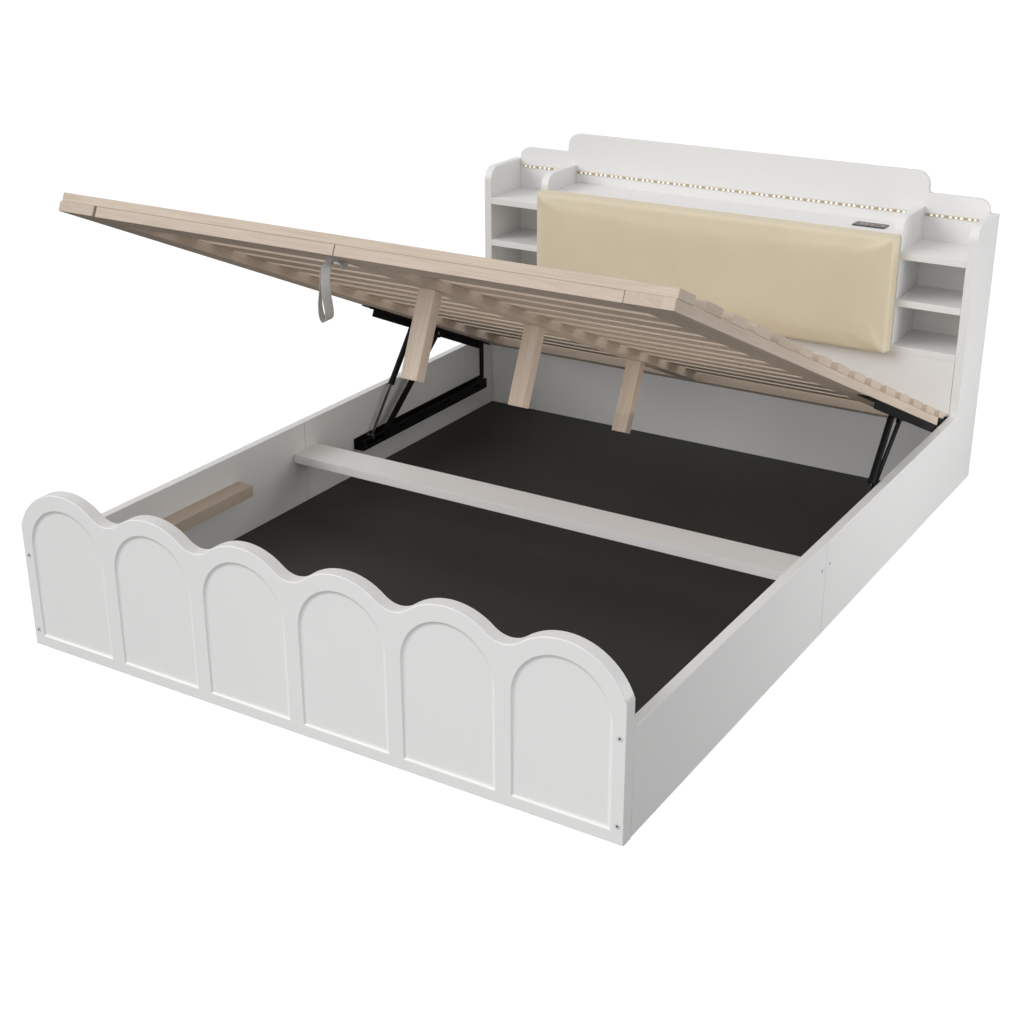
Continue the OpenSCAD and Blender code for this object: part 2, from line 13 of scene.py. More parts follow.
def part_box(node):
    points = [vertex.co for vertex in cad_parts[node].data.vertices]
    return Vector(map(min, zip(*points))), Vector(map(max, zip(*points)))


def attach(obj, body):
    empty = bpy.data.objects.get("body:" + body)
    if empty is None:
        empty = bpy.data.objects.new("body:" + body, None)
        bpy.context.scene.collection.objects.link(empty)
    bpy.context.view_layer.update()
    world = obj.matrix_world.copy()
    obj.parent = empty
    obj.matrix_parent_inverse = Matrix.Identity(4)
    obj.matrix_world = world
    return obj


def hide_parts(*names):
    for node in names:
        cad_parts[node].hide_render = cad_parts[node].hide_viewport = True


bl_info = {
    "name": "Ottoman bed dressing",
    "version": (1, 0, 0),
    "blender": (4, 5, 0),
    "location": "3D View > Sidebar > Bed",
    "description": "Builds the surfaces, soft pieces and studio of a bed with a lifting slatted frame",
    "category": "Object",
}

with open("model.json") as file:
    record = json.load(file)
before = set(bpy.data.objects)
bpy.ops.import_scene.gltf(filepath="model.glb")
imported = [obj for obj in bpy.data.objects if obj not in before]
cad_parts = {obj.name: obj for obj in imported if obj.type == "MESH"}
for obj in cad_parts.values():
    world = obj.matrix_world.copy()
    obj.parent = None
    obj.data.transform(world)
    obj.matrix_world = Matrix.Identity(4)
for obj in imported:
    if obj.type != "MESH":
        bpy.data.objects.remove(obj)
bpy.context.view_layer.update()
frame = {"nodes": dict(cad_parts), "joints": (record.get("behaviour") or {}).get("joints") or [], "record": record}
MM = 0.001

JOINTS = {joint["name"]: joint for joint in frame["joints"]}
PIVOT = Vector(JOINTS["frame_lift"]["pos_m"])
TILT = radians(JOINTS["frame_lift"]["range_deg"][1])
# Takes the flat lifting frame, its hinge at the origin, to where it is raised
RAISED = Matrix.Translation(PIVOT) @ Matrix.Rotation(-TILT, 4, "X")

BODY_OF = {node: body for body, nodes in frame["record"]["behaviour"]["bodies"].items() for node in nodes}


def nodes_named(*starts):
    return [node for node in BODY_OF if node.startswith(starts)]


WHITE_BOARDS = nodes_named("rail_left", "rail_right", "crossbeam", "headboard", "shelf", "centre_shelf")
BLACK_STEEL = nodes_named("base_bracket", "bracket_screws", "top_bar", "stay_link", "strut_tube")


# What a user would change

def size(name, default, low, high, description):
    return FloatProperty(name=name, description=description, default=default, min=low, max=high,
                         subtype="DISTANCE", precision=4)


def colour(name, default, description):
    return FloatVectorProperty(name=name, description=description, default=default, size=3,
                               min=0.0, max=1.0, subtype="COLOR")


class BedSizes(bpy.types.PropertyGroup):
    board_ease: size("Board easing", 0.0011, 0.0003, 0.003, "Rounding of the white boards' edges")
    wood_ease: size("Wood easing", 0.0014, 0.0003, 0.004, "Rounding of the slats' and beams' edges")
    crest_round: size("Crest rounding", 0.0022, 0.001, 0.008, "Rounding of the footboard's rim")
    cushion_slack: size("Cushion slack", 0.004, 0.0, 0.015, "How much smaller each way the cushion starts")
    cushion_puff: size("Cushion puff", 0.006, 0.002, 0.03, "The furthest that a point of the cushion swells")
    cushion_roll: size("Cushion roll", 0.024, 0.005, 0.03, "Rounding of the cushion's front edges")
    strap_width: size("Strap width", 0.020, 0.015, 0.035, "Width of the pull strap's webbing")
    lamp_size: size("Lamp size", 0.0050, 0.003, 0.008, "Side of one lamp of the light strip")


class BedColours(bpy.types.PropertyGroup):
    white: colour("White board", (0.82, 0.816, 0.81), "Lacquer of the boards")
    oak_light: colour("Light wood", (0.61, 0.512, 0.422), "The paler part of the wood's grain")
    oak_dark: colour("Dark wood", (0.455, 0.356, 0.274), "The darker lines of the wood's grain")
    cream: colour("Cushion", (0.72, 0.635, 0.47), "Cover of the cushion")
    floor_black: colour("Floor board", (0.030, 0.0294, 0.029), "Boards on the floor of the box")
    steel_black: colour("Black steel", (0.010, 0.010, 0.010), "Powder coat of the lift hardware")
    webbing: colour("Strap", (0.60, 0.575, 0.55), "Webbing of the pull strap")


# Shader node groups

# Sockets of the Mix node while it mixes colours
MIX_FACTOR, MIX_A, MIX_B, MIX_RESULT = 0, 6, 7, 2


class Graph:
    """A shader tree with short calls for adding and joining nodes."""

    def __init__(self, tree):
        self.tree = tree

    def add(self, kind, **values):
        """A new node; each value goes to its property or, failing that, its input of that name."""
        node = self.tree.nodes.new("ShaderNode" + kind)
        for key, value in values.items():
            name = key.replace("_", " ")
            if hasattr(node, key) and name not in node.inputs:
                setattr(node, key, value)
            else:
                self.feed(node.inputs[name], value)
        return node

    def feed(self, socket, value):
        if isinstance(value, bpy.types.NodeSocket):
            self.tree.links.new(value, socket)
        elif hasattr(value, "__len__") and len(value) == 3 and socket.type == "RGBA":
            socket.default_value = (*value, 1.0)
        else:
            socket.default_value = value

    def fill(self, node, *values):
        """Feeds a node's first inputs in order and hands back its first output."""
        for socket, value in zip(node.inputs, values):
            self.feed(socket, value)
        return node.outputs[0]

    def math(self, operation, a, b=0.0, clamp=False):
        return self.fill(self.add("Math", operation=operation, use_clamp=clamp), a, b)

    def times(self, a, b):
        return self.math("MULTIPLY", a, b)

    def plus(self, a, b):
        return self.math("ADD", a, b)

    def minus(self, a, b):
        return self.math("SUBTRACT", a, b)

    def swing(self, noise, amount):
        """A noise brought down to swing about zero, times amount."""
        return self.times(self.minus(noise, 0.5), amount)

    def scaled(self, vector, by):
        return self.fill(self.add("VectorMath", operation="SCALE", Scale=by), vector)

    def moved(self, vector, by):
        return self.fill(self.add("VectorMath", operation="ADD"), vector, by)

    def mix(self, factor, a, b):
        node = self.add("Mix", data_type="RGBA")
        for index, value in ((MIX_FACTOR, factor), (MIX_A, a), (MIX_B, b)):
            self.feed(node.inputs[index], value)
        return node.outputs[MIX_RESULT]

    def remap(self, value, low, high, to_low=0.0, to_high=1.0):
        return self.fill(self.add("MapRange"), value, low, high, to_low, to_high)

    def place(self, vector, scale=(1, 1, 1), turn=(0, 0, 0), shift=(0, 0, 0)):
        return self.add("Mapping", Vector=vector, Location=shift, Rotation=turn, Scale=scale).outputs[0]

    def noise(self, vector, scale, detail=2.0, rough=0.5, twist=0.0):
        return self.add("TexNoise", Vector=vector, Scale=scale, Detail=detail, Roughness=rough,
                        Distortion=twist).outputs[0]

    def object_place(self):
        return self.add("TexCoord").outputs["Object"]

    def use(self, name, **values):
        """Places a group with its own values and hands back its outputs."""
        return self.add("Group", node_tree=shader_group(name), **values).outputs


class Surface(Graph):
    """The tree of a new material; constants go on the Principled shader's own sockets."""

    def __init__(self, name, **constants):
        self.material = bpy.data.materials.new(name)
        self.material.use_nodes = True
        super().__init__(self.material.node_tree)
        self.shader = next(node for node in self.tree.nodes if node.type == "BSDF_PRINCIPLED").inputs
        for key, value in constants.items():
            self.feed(self.shader[key.replace("_", " ")], value)

    def sprayed(self, place, base, scale, cloud, speckle, gloss):
        return self.use("sprayed lacquer", Vector=place, Base=base, Scale=scale, Cloud=cloud,
                        Speckle=speckle, Gloss=gloss)

    def worn(self, place, parts, width, amount, bare):
        """A group's outputs, with the bare colour showing where edges are rubbed."""
        mask = self.use("edge wear", Vector=place, Width=width, Amount=amount)["Mask"]
        return {"Color": self.mix(mask, parts["Color"], bare), "Roughness": parts["Roughness"],
                "Height": parts["Height"]}

    def finish(self, parts, strength, distance):
        """Joins colour, roughness and height to the shader and hands back the material."""
        self.feed(self.shader["Base Color"], parts["Color"])
        if "Roughness" in parts:
            self.feed(self.shader["Roughness"], parts["Roughness"])
        bump = self.add("Bump", Strength=strength, Distance=distance, Height=parts["Height"])
        self.feed(self.shader["Normal"], bump.outputs[0])
        return self.material


# How far the grain jumps from one board to the next
BOARD_JUMP = 7.0


def build_grain(graph, given):
    """Straight grain: long fibres along X, wide growth bands, and a tone for each board."""
    tone = graph.add("TexWhiteNoise", noise_dimensions="1D", W=given["Board"])
    along = graph.moved(given["Vector"], graph.scaled(tone.outputs["Color"], BOARD_JUMP))
    bands = graph.noise(graph.place(along, (1.3, 30, 30)), 1.0, 3.0, 0.55, 0.6)
    fibres = graph.noise(graph.place(along, (7, 420, 420)), 1.0, 3.0, 0.6)
    pores = graph.noise(graph.place(along, (30, 1100, 1100)), 1.0, 1.0, 0.5)
    ring_mask = graph.times(graph.remap(graph.math("SINE", graph.times(bands, 46.0)), -0.2, 1.0), 0.55)
    fibre_mask = graph.remap(fibres, 0.42, 0.68)
    pore_mask = graph.remap(pores, 0.66, 0.8)
    amount = graph.plus(graph.times(ring_mask, given["Rings"]), graph.times(fibre_mask, given["Fibres"]))
    tint = graph.mix(graph.math("MINIMUM", amount, 1.0), given["Light"], given["Dark"])
    shade = graph.remap(tone.outputs["Value"], 0.0, 1.0, 0.93, 1.06)
    cloud = graph.remap(graph.noise(along, 5.0, 2.0), 0.3, 0.7, 0.965, 1.03)
    toned = graph.scaled(tint, graph.times(shade, cloud))
    dotted = graph.mix(graph.times(pore_mask, 0.22), toned, given["Dark"])
    return {"Color": dotted, "Roughness": graph.remap(fibres, 0.3, 0.7, 0.50, 0.62),
            "Height": graph.minus(graph.times(fibres, 0.7), graph.times(pore_mask, 0.5))}


def build_lacquer(graph, given):
    """Sprayed surface: a faint cloudiness in the colour and a fine orange peel."""
    cloud = graph.noise(given["Vector"], 3.0, 3.0, 0.55)
    fine = graph.noise(given["Vector"], given["Scale"], 2.0, 0.5)
    shade = graph.plus(graph.swing(cloud, given["Cloud"]),
                       graph.plus(graph.swing(fine, given["Speckle"]), 1.0))
    return {"Color": graph.scaled(given["Base"], shade), "Height": fine,
            "Roughness": graph.plus(given["Gloss"], graph.swing(cloud, 0.12))}


def build_edge_wear(graph, given):
    """Rubbed edges: where the smoothed normal leaves the true one, broken up by noise."""
    soft = graph.add("Bevel", samples=4, Radius=given["Width"])
    bent = graph.add("VectorMath", operation="DOT_PRODUCT")
    graph.fill(bent, soft.outputs[0], graph.add("NewGeometry").outputs["True Normal"])
    edge = graph.remap(bent.outputs["Value"], 0.995, 0.80)
    patches = graph.remap(graph.noise(given["Vector"], 55.0, 3.0, 0.6), 0.42, 0.62)
    return {"Mask": graph.math("MULTIPLY", graph.times(edge, patches), given["Amount"], clamp=True)}


def build_leather(graph, given):
    """Fine pebbled leather: creased cells with painted shade in the creases, and a slow unevenness of tone."""
    bend = graph.scaled(graph.noise(given["Vector"], given["Scale"], 2.0), 0.0012)
    cells = graph.add("TexVoronoi", feature="DISTANCE_TO_EDGE", Scale=given["Scale"],
                      Vector=graph.moved(given["Vector"], bend))
    crease = graph.remap(cells.outputs["Distance"], 0.0, 0.16)
    slow = graph.noise(given["Vector"], 6.0, 3.0, 0.55)
    # The colour darkens towards the crease tone in the cells' creases: painted shade
    deep = graph.mix(graph.times(graph.minus(1.0, crease), 0.16), given["Base"], given["Crease"])
    return {"Color": graph.scaled(deep, graph.remap(slow, 0.3, 0.7, 0.975, 1.025)),
            "Roughness": graph.remap(slow, 0.3, 0.7, 0.40, 0.50), "Height": crease}


def build_weave(graph, given):
    """Flat webbing: ribs along the band crossed by picks, from the piece's own UV map in threads, with painted
    shade between the threads.
    """
    parts = graph.add("SeparateXYZ", Vector=given["Vector"]).outputs
    step = graph.math("MODULO", graph.math("FLOOR", parts["Y"]), 2.0)
    shifted = graph.plus(parts["X"], graph.times(step, 0.5))
    along, across = (graph.math("ABSOLUTE", graph.math("SINE", graph.times(threads, pi)))
                     for threads in (parts["Y"], shifted))
    height = graph.times(graph.math("POWER", across, 0.6), graph.math("POWER", along, 0.5))
    fuzz = graph.noise(given["Vector"], 0.9, 3.0, 0.6)
    # Darker where the threads lie low: painted shade in the weave's hollows, times a random fuzz of tone
    shade = graph.times(graph.remap(height, 0.0, 1.0, 0.66, 1.04), graph.remap(fuzz, 0.3, 0.7, 0.94, 1.05))
    return {"Color": graph.scaled(given["Base"], shade), "Height": height}


COLOURS = ("Color", "Base", "Crease", "Light", "Dark")
SURFACE = "Color Roughness Height"
# Each group's builder, inputs and outputs
GROUPS = {
    "straight grain": (build_grain, "Vector Board Light Dark Rings Fibres", SURFACE),
    "sprayed lacquer": (build_lacquer, "Vector Base Scale Cloud Speckle Gloss", SURFACE),
    "edge wear": (build_edge_wear, "Vector Width Amount", "Mask"),
    "pebbled leather": (build_leather, "Vector Base Crease Scale", SURFACE),
    "webbing weave": (build_weave, "Vector Base", "Color Height"),
}


def shader_group(name):
    """The node group of that name, built on its first use."""
    if name in bpy.data.node_groups:
        return bpy.data.node_groups[name]
    build, inputs, outputs = GROUPS[name]
    tree = bpy.data.node_groups.new(name, "ShaderNodeTree")
    for in_out, labels in (("INPUT", inputs), ("OUTPUT", outputs)):
        for label in labels.split():
            kind = "Vector" if label == "Vector" else "Color" if label in COLOURS else "Float"
            tree.interface.new_socket(name=label, in_out=in_out, socket_type="NodeSocket" + kind)
    graph = Graph(tree)
    start = tree.nodes.new("NodeGroupInput")
    end = tree.nodes.new("NodeGroupOutput")
    made = build(graph, start.outputs)
    for label in outputs.split():
        graph.feed(end.inputs[label], made[label])
    return tree


# Materials, each built on its first use and then kept

def shades():
    return bpy.context.scene.bed_colours


def sizes():
    return bpy.context.scene.bed_sizes


@cache
def white_lacquer():
    look = Surface("white_lacquer", Specular_IOR_Level=0.42)
    place = look.object_place()
    parts = look.sprayed(place, shades().white, 420.0, cloud=0.02, speckle=0.012, gloss=0.40)
    return look.finish(look.worn(place, parts, 0.0018, 0.14, (0.62, 0.60, 0.57)), 0.06, 0.0003)


@cache
def floor_black():
    look = Surface("black_floor_board", Specular_IOR_Level=0.35)
    place = look.object_place()
    parts = look.sprayed(place, shades().floor_black, 900.0, cloud=0.25, speckle=0.35, gloss=0.52)
    height = look.plus(parts["Height"], look.noise(look.place(place, (260, 12, 260)), 1.0, 2.0))
    return look.finish({"Color": parts["Color"], "Roughness": parts["Roughness"], "Height": height},
                       0.12, 0.0003)


# Wood further up or down than this is another layer, with tones of its own
LAYER, LAYER_STEP = 0.5, 3.7
# The turn that brings each wood's grain onto X, the pitch of its boards along Y and the first one's shift
WOODS = {
    "oak_along_bed": ((0, 0, -pi / 2), 0.6, 0.0),
    "oak_across": ((TILT, 0, 0), 0.136786, 2.0104),
    "oak_end_beams": ((TILT, 0, 0), 5.0, 4.5),
    "oak_along_frame": ((TILT, 0, -pi / 2), 0.55, 0.2),
    "oak_upright": ((TILT, pi / 2, 0), 0.3, 0.1),
}


@cache
def oak(name):
    turn, pitch, shift = WOODS[name]
    look = Surface(name, Specular_IOR_Level=0.25)
    spin = Euler(turn).to_matrix()
    place = look.place(look.object_place(), turn=turn, shift=-(spin @ PIVOT))
    at = look.add("SeparateXYZ", Vector=place).outputs
    board = look.math("FLOOR", look.math("DIVIDE", look.plus(at["Y"], shift), pitch))
    layer = look.times(look.math("FLOOR", look.math("DIVIDE", at["Z"], LAYER)), LAYER_STEP)
    grain = look.use("straight grain", Vector=place, Board=look.plus(board, layer), Rings=0.42,
                     Fibres=0.28, Light=shades().oak_light, Dark=shades().oak_dark)
    return look.finish(look.worn(place, grain, 0.0022, 0.25, (0.74, 0.62, 0.50)), 0.16, 0.0004)


@cache
def black_steel():
    look = Surface("black_steel", Specular_IOR_Level=0.07)
    place = look.object_place()
    parts = look.sprayed(place, shades().steel_black, 1500.0, cloud=0.2, speckle=0.5, gloss=0.5)
    return look.finish(look.worn(place, parts, 0.0008, 0.3, (0.10, 0.10, 0.10)), 0.2, 0.0002)


# Each bright steel's tone and least roughness
STEELS = {"zinc_plate": ((0.46, 0.46, 0.47), 0.32), "blackened_rod": ((0.07, 0.07, 0.072), 0.24)}


@cache
def bright_steel(name):
    """Plated or ground steel with fine turning marks."""
    tone, rough = STEELS[name]
    look = Surface(name, Metallic=1.0)
    place = look.object_place()
    marks = look.noise(look.place(place, (1800, 90, 90)), 1.0, 2.0)
    stain = look.remap(look.noise(place, 60.0, 3.0), 0.35, 0.65)
    return look.finish({"Color": look.mix(stain, tone, Vector(tone) * 0.8), "Height": marks,
                        "Roughness": look.remap(marks, 0.3, 0.7, rough, rough + 0.14)}, 0.06, 0.0001)


@cache
def cream_cover():
    look = Surface("cream_cushion", Specular_IOR_Level=0.35, Sheen_Weight=0.08, Sheen_Roughness=0.5)
    base = Vector(shades().cream)
    # The darker crease tone is painted shade in the pebbled grain's creases
    parts = look.use("pebbled leather", Vector=look.object_place(), Base=base, Crease=base * 0.72,
                     Scale=520.0)
    return look.finish(parts, 0.22, 0.0004)


@cache
def webbing():
    look = Surface("strap_webbing", Roughness=0.86, Sheen_Weight=0.2, Sheen_Roughness=0.4,
                   Specular_IOR_Level=0.2)
    threads = look.add("UVMap", uv_map="UVMap").outputs[0]
    return look.finish(look.use("webbing weave", Vector=threads, Base=shades().webbing), 0.6, 0.0005)


# Small moulded or printed parts: tone, roughness, speckle; the bolt socket's near-black is painted shade in its
# recess
PLASTICS = {
    "white_bolt_head": ((0.66, 0.655, 0.65), 0.45, 0.05), "socket_painted_shade": ((0.05, 0.05, 0.05), 0.5, 0.1),
    "light_strip_tape": ((0.74, 0.70, 0.64), 0.4, 0.1), "lamp_body": ((0.86, 0.83, 0.76), 0.35, 0.0),
    "solder_patch": ((0.50, 0.36, 0.22), 0.4, 0.2), "small_pad": ((0.36, 0.31, 0.25), 0.4, 0.2),
    "black_control_panel": ((0.012, 0.012, 0.013), 0.14, 0.0),
}


@cache
def plastic(name):
    tone, rough, speckle = PLASTICS[name]
    look = Surface(name, Specular_IOR_Level=0.5)
    parts = look.sprayed(look.object_place(), tone, 1400.0, cloud=0.06, speckle=speckle, gloss=rough)
    return look.finish(parts, 0.08, 0.0001)


# Lit lamps and marks: tone, glow, strength
GLOWS = {
    "lamp_lit": ((0.95, 0.90, 0.74), (1.0, 0.95, 0.84), 1.1),
    "mark_pale": ((0.42, 0.42, 0.42), (0.6, 0.6, 0.6), 0.25),
    "mark_red": ((0.5, 0.05, 0.04), (0.9, 0.10, 0.06), 0.6),
}


@cache
def lamp_glow(name):
    """A lamp's or mark's material, slightly uneven in its colour and its glow."""
    tone, glow, strength = GLOWS[name]
    look = Surface(name, Roughness=0.35, Emission_Strength=strength)
    uneven = look.remap(look.noise(look.object_place(), 700.0, 1.0), 0.3, 0.7)
    for socket, full, least in (("Base Color", tone, 0.92), ("Emission Color", glow, 0.94)):
        look.feed(look.shader[socket], look.mix(uneven, full, Vector(full) * least))
    return look.material


# Making pieces

# CAD points nearer than this are one; a bend under this, in degrees, is flat, and over this it is sharp
WELD, FLAT_BEND, SHARP_BEND = 2e-5, 0.6, 25.0
# A point this near a face lies on it; a face looks along a direction if its normal has this share of it
ON_FACE, LOOKS_ALONG = 0.0001, 0.99


def put(name, data):
    """A new object, placed in the scene."""
    made = bpy.data.objects.new(name, data)
    bpy.context.scene.collection.objects.link(made)
    return made


def mesh_of(name, bm):
    mesh = bpy.data.meshes.new(name)
    bm.to_mesh(mesh)
    bm.free()
    return mesh


def as_piece(name, bm, materials, stands_for=(), body="base", smooth_over=35.0, weighted=True):
    """Turns a bmesh into a finished object riding on its body."""
    for face in bm.faces:
        face.smooth = True
    for edge in bm.edges:
        edge.smooth = len(edge.link_faces) == 2 and edge.calc_face_angle(0.0) < radians(smooth_over)
    mesh = mesh_of(name, bm)
    for material in materials:
        mesh.materials.append(material)
    piece = put(name, mesh)
    if weighted:
        piece.modifiers.new("even shading", "WEIGHTED_NORMAL").keep_sharp = True
    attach(piece, body)
    if stands_for:
        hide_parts(*stands_for)
    return piece


def stand_in(node, bm, material):
    as_piece(node + "_eased", bm, [material], [node], BODY_OF[node])


def merged_copy(node):
    """A CAD node's mesh, copied, welded and with its flat faces joined."""
    bm = bmesh.new()
    bm.from_mesh(frame["nodes"][node].data)
    bmesh.ops.remove_doubles(bm, verts=bm.verts, dist=WELD)
    bmesh.ops.dissolve_limit(bm, angle_limit=radians(FLAT_BEND), verts=bm.verts, edges=bm.edges,
                             delimit=set())
    return bm


def ease(bm, edges, width, segments):
    return bmesh.ops.bevel(bm, geom=list(edges), offset=width, segments=segments, profile=0.5,
                           affect="EDGES", clamp_overlap=True, material=-1)


def sharp_edges(bm, longer_than=0.0):
    return [e for e in bm.edges
            if e.calc_face_angle(0.0) > radians(SHARP_BEND) and e.calc_length() > longer_than]


def eased_copy(node, width, segments=2):
    bm = merged_copy(node)
    ease(bm, sharp_edges(bm), width, segments)
    return bm


def pull_back(bm, axis, at, by):
    """Moves the face that lies at a place along an axis."""
    for vert in bm.verts:
        if abs(vert.co[axis] - at) < ON_FACE:
            vert.co[axis] += by


def block(bm, low, high):
    """A box between two corners, added to bm."""
    low, high = Vector(low), Vector(high)
    place = Matrix.Translation((low + high) / 2) @ Matrix.Diagonal((*(high - low), 1.0))
    bmesh.ops.create_cube(bm, size=1.0, matrix=place)


def facing(direction):
    """The turn that brings the local Z axis to point along a direction."""
    return direction.to_track_quat("Z", "Y").to_matrix().to_4x4()


def disc(bm, radius, depth, place, segments):
    """A closed cylinder up the Z axis of place from its origin; its faces are handed back."""
    made = bmesh.ops.create_cone(bm, cap_ends=True, segments=segments, radius1=radius,
                                 radius2=radius, depth=depth,
                                 matrix=place @ Matrix.Translation((0, 0, depth / 2)))
    return {face for vert in made["verts"] for face in vert.link_faces}


def places_across(node, direction):
    """Where a node's parts stand along X, by the middles of their faces that look along a direction."""
    bm = merged_copy(node)
    middles = {round(f.calc_center_median().x, 4) for f in bm.faces if f.normal.dot(direction) > LOOKS_ALONG}
    bm.free()
    return sorted(middles)


def paint_node(node, material):
    mesh = frame["nodes"][node].data
    for index in range(len(mesh.materials)):
        mesh.materials[index] = material
    if not mesh.materials:
        mesh.materials.append(material)


# Camera and studio

CAMERA_AT = Vector((1.9875, -3.4559, 1.8467))
CAMERA_AZ, CAMERA_EL, CAMERA_ROLL = radians(-31.579), radians(-23.483), radians(-0.102)
CAMERA_LENS = 56.307


class BED_OT_camera(bpy.types.Operator):
    """Put the camera where the bed is seen from the foot end's right"""
    bl_idname = "bed.camera"
    bl_label = "Camera"

    def execute(self, context):
        lens = bpy.data.cameras.new("camera")
        lens.lens = CAMERA_LENS
        lens.sensor_fit = "HORIZONTAL"
        lens.clip_end = 100.0
        camera = put("camera", lens)
        turn = Euler((pi / 2 + CAMERA_EL, 0, -CAMERA_AZ)).to_matrix().to_4x4()
        camera.matrix_world = Matrix.Translation(CAMERA_AT) @ turn @ Matrix.Rotation(CAMERA_ROLL, 4, "Z")
        context.scene.camera = camera
        return {"FINISHED"}


WHITE, WARM = (1.0, 1.0, 1.0), (1.0, 0.86, 0.74)
STUDIO_LIGHTS = (
    # name, kind, place, aim, width in metres or degrees, power in watts or strength, colour
    ("key_front_left", "SUN", (-6.0, -6.2, 4.4), (0.0, 0.0, 0.0), 35.0, 1.45, WHITE),
    ("fill_front", "AREA", (0.8, -5.0, 1.0), (0.2, -1.0, 0.4), 2.5, 32.0, WHITE),
    ("side_right", "AREA", (2.6, 0.7, 0.4), (0.8, 0.7, 0.4), 1.2, 24.0, WHITE),
    ("bounce_under_slats", "AREA", (0.0, -0.25, 0.27), (0.0, -0.26, 1.0), 1.5, 1.7, WARM),
)
# The floor: its reach each way, drop under the bed, own tone and lift towards white for the camera
FLOOR_REACH, FLOOR_DROP, FLOOR_TONE, FLOOR_LIFT = 40.0, 0.0003, 0.12, 0.96
# Strength of the light from all round
SKY = 0.67


class BED_OT_studio(bpy.types.Operator):
    """Lay the pale floor and set the soft lights"""
    bl_idname = "bed.studio"
    bl_label = "Studio"

    def execute(self, context):
        bm = bmesh.new()
        bmesh.ops.create_grid(bm, x_segments=1, y_segments=1, size=FLOOR_REACH,
                              matrix=Matrix.Translation((0, 0, -FLOOR_DROP)))
        mesh = mesh_of("studio_floor", bm)
        look = Surface("studio_floor", Roughness=0.9, Specular_IOR_Level=0.05, Emission_Color=WHITE)
        soft = look.noise(look.object_place(), 0.6, 2.0)
        tone = Vector((FLOOR_TONE,) * 3)
        look.feed(look.shader["Base Color"], look.mix(soft, tone, tone * 1.02))
        # Only the camera sees the lift, so no light is thrown up at the bed
        seen = look.add("LightPath").outputs["Is Camera Ray"]
        look.feed(look.shader["Emission Strength"], look.times(seen, FLOOR_LIFT))
        mesh.materials.append(look.material)
        put("studio_floor", mesh)
        world = bpy.data.worlds.new("studio")
        world.use_nodes = True
        background = world.node_tree.nodes["Background"]
        # The camera sees a white backdrop; the light on the bed is weaker
        sky = Graph(world.node_tree)
        sky.feed(background.inputs["Color"], WHITE)
        seen = sky.add("LightPath").outputs["Is Camera Ray"]
        sky.feed(background.inputs["Strength"], sky.remap(seen, 0.0, 1.0, SKY, 1.0))
        context.scene.world = world
        context.scene.view_settings.view_transform = "Standard"
        context.scene.view_settings.look = "None"
        for name, kind, at, aim, width, power, tint in STUDIO_LIGHTS:
            light = bpy.data.lights.new(name, kind)
            light.color = tint
            if kind == "SUN":
                light.angle = radians(width)
            else:
                light.shape = "DISK"
                light.size = width
            light.energy = power
            lamp = put(name, light)
            lamp.visible_camera = False
            turn = (Vector(aim) - Vector(at)).to_track_quat("-Z", "Y")
            lamp.matrix_world = Matrix.Translation(at) @ turn.to_matrix().to_4x4()
        return {"FINISHED"}


# Base

# How far a board's end stays back, so that the joint shows as a thin line
SEAM = 0.0008
# Shorter edges, round the rails' bolt holes, stay sharp
RAIL_HOLE = 0.03


class BED_OT_white_boards(bpy.types.Operator):
    """Ease and lacquer the rails, the crossbeam and the headboard's boards"""
    bl_idname = "bed.white_boards"
    bl_label = "White boards"

    def execute(self, context):
        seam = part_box("rail_left_rear")[0].y
        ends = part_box("headboard_lower_panel")
        for node in WHITE_BOARDS:
            bm = merged_copy(node)
            if node.startswith("rail"):
                pull_back(bm, 1, seam, SEAM if node.endswith("rear") else -SEAM)
            elif node == "headboard_lower_panel":
                pull_back(bm, 0, ends[0].x, SEAM)
                pull_back(bm, 0, ends[1].x, -SEAM)
            ease(bm, sharp_edges(bm, RAIL_HOLE if node.startswith("rail") else 0.0), sizes().board_ease, 2)
            stand_in(node, bm, white_lacquer())
        return {"FINISHED"}


# How far a normal turns to the front: at most on the rim, at least in a field's slope
RIM_FACE, SLOPE = 0.1, 0.3
# The rim's edges are longer than the bolt holes'
RIM_EDGE = 0.003
# Rounding at the mouths and at the feet of the sunk fields
MOUTH_ROUND, FOOT_ROUND = 0.001, 0.0042


class BED_OT_footboard(bpy.types.Operator):
    """Round the scalloped footboard's rim and the edges of its sunk fields"""
    bl_idname = "bed.footboard"
    bl_label = "Footboard"

    def execute(self, context):
        bm = merged_copy("footboard")
        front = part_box("footboard")[0].y
        rim, mouth, foot = [], [], []
        for edge in bm.edges:
            if len(edge.link_faces) != 2:
                continue
            a, b = (face.normal.y for face in edge.link_faces)
            flat, other = (a, b) if abs(a) > abs(b) else (b, a)
            middle = (edge.verts[0].co + edge.verts[1].co) / 2
            if abs(flat) < LOOKS_ALONG or abs(other) > LOOKS_ALONG:
                continue
            if abs(other) < RIM_FACE and edge.calc_length() > RIM_EDGE:
                rim.append(edge)
            elif other < -SLOPE:
                (mouth if middle.y < front + MM else foot).append(edge)
        ease(bm, mouth, MOUTH_ROUND, 2)
        ease(bm, [e for e in foot if e.is_valid], FOOT_ROUND, 5)
        ease(bm, [e for e in rim if e.is_valid], sizes().crest_round, 4)
        as_piece("footboard_rounded", bm, [white_lacquer()], ["footboard"])
        return {"FINISHED"}


FLOOR_BOARD_EASE = 0.0008


class BED_OT_floor_boards(bpy.types.Operator):
    """Ease and finish the two black boards on the floor"""
    bl_idname = "bed.floor_boards"
    bl_label = "Floor boards"

    def execute(self, context):
        for node in ("floor_panel_front", "floor_panel_rear"):
            stand_in(node, eased_copy(node, FLOOR_BOARD_EASE), floor_black())
        return {"FINISHED"}


